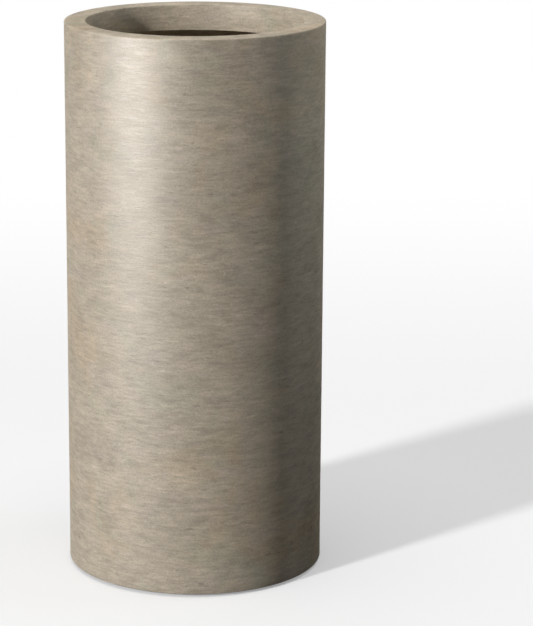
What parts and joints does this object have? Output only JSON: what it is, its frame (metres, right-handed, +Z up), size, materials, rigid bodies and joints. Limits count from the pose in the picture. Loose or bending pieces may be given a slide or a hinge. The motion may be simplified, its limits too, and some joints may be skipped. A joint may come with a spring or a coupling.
{
  "type": "tall round planter",
  "caption": "Tall straight round fibreglass planter with a flat return-lip rim, lift-out planting shelf, pull-out drain plug and rubber foot pads, stone-effect finish.",
  "frame": {"origin": "on the floor, on the planter's vertical axis, in the plane of the foot pads' undersides", "axes": "+Z up along the planter's axis and out of its mouth; -Y towards the viewer of the picture; +X to the viewer's right, through foot pad 1 and a finger hole of the shelf"},
  "size_m": [0.3556, 0.3556, 0.766],
  "materials": {
    "stone_finish": "satin taupe-grey stone-effect coat, faint streaks and blotches, on glass-fibre laminate",
    "raw_laminate": "rough brown-grey resin-rich laminate, glass strands faintly visible, stone coat sprayed a little way into the mouth",
    "glass_tape": "woven glass tape wetted out with dark resin",
    "shelf_laminate": "natural glass-fibre laminate without pigment, strands visible",
    "bond_paste": "grey bonding paste, matte",
    "bush_plastic": "black moulded plastic, satin",
    "plug_rubber": "black soft rubber, matte",
    "pad_rubber": "black hard rubber, matte",
    "zinc_steel": "zinc-plated steel, dull",
    "insert_brass": "turned brass"
  },
  "bodies": {
    "planter": {"wall_tube": "stone_finish", "rim_ring": "stone_finish", "rim_tape": "glass_tape", "base_tape": "glass_tape", "ledge_tape": "glass_tape", "base_bond": "bond_paste", "ledge_bond": "bond_paste", "base_panel": "raw_laminate", "shelf_ledge": "raw_laminate", "foot_blocks": "raw_laminate", "drain_bush": "bush_plastic", "foot_washers": "zinc_steel", "foot_screws": "zinc_steel", "foot_inserts": "insert_brass", "foot_pad_1": "pad_rubber", "foot_pad_2": "pad_rubber", "foot_pad_3": "pad_rubber", "foot_pad_4": "pad_rubber", "foot_pad_5": "pad_rubber", "foot_pad_6": "pad_rubber"},
    "shelf": {"planting_shelf": "shelf_laminate", "shelf_ring": "shelf_laminate"},
    "plug": {"drain_plug": "plug_rubber"}
  },
  "joints": [
    {"name": "shelf_lift", "type": "slide", "parent": "planter", "child": "shelf", "axis": [0, 0, 1], "range_m": [0, 0.38]},
    {"name": "plug_pull", "type": "slide", "parent": "planter", "child": "plug", "axis": [0, 0, 1], "range_m": [0, 0.06]}
  ]
}
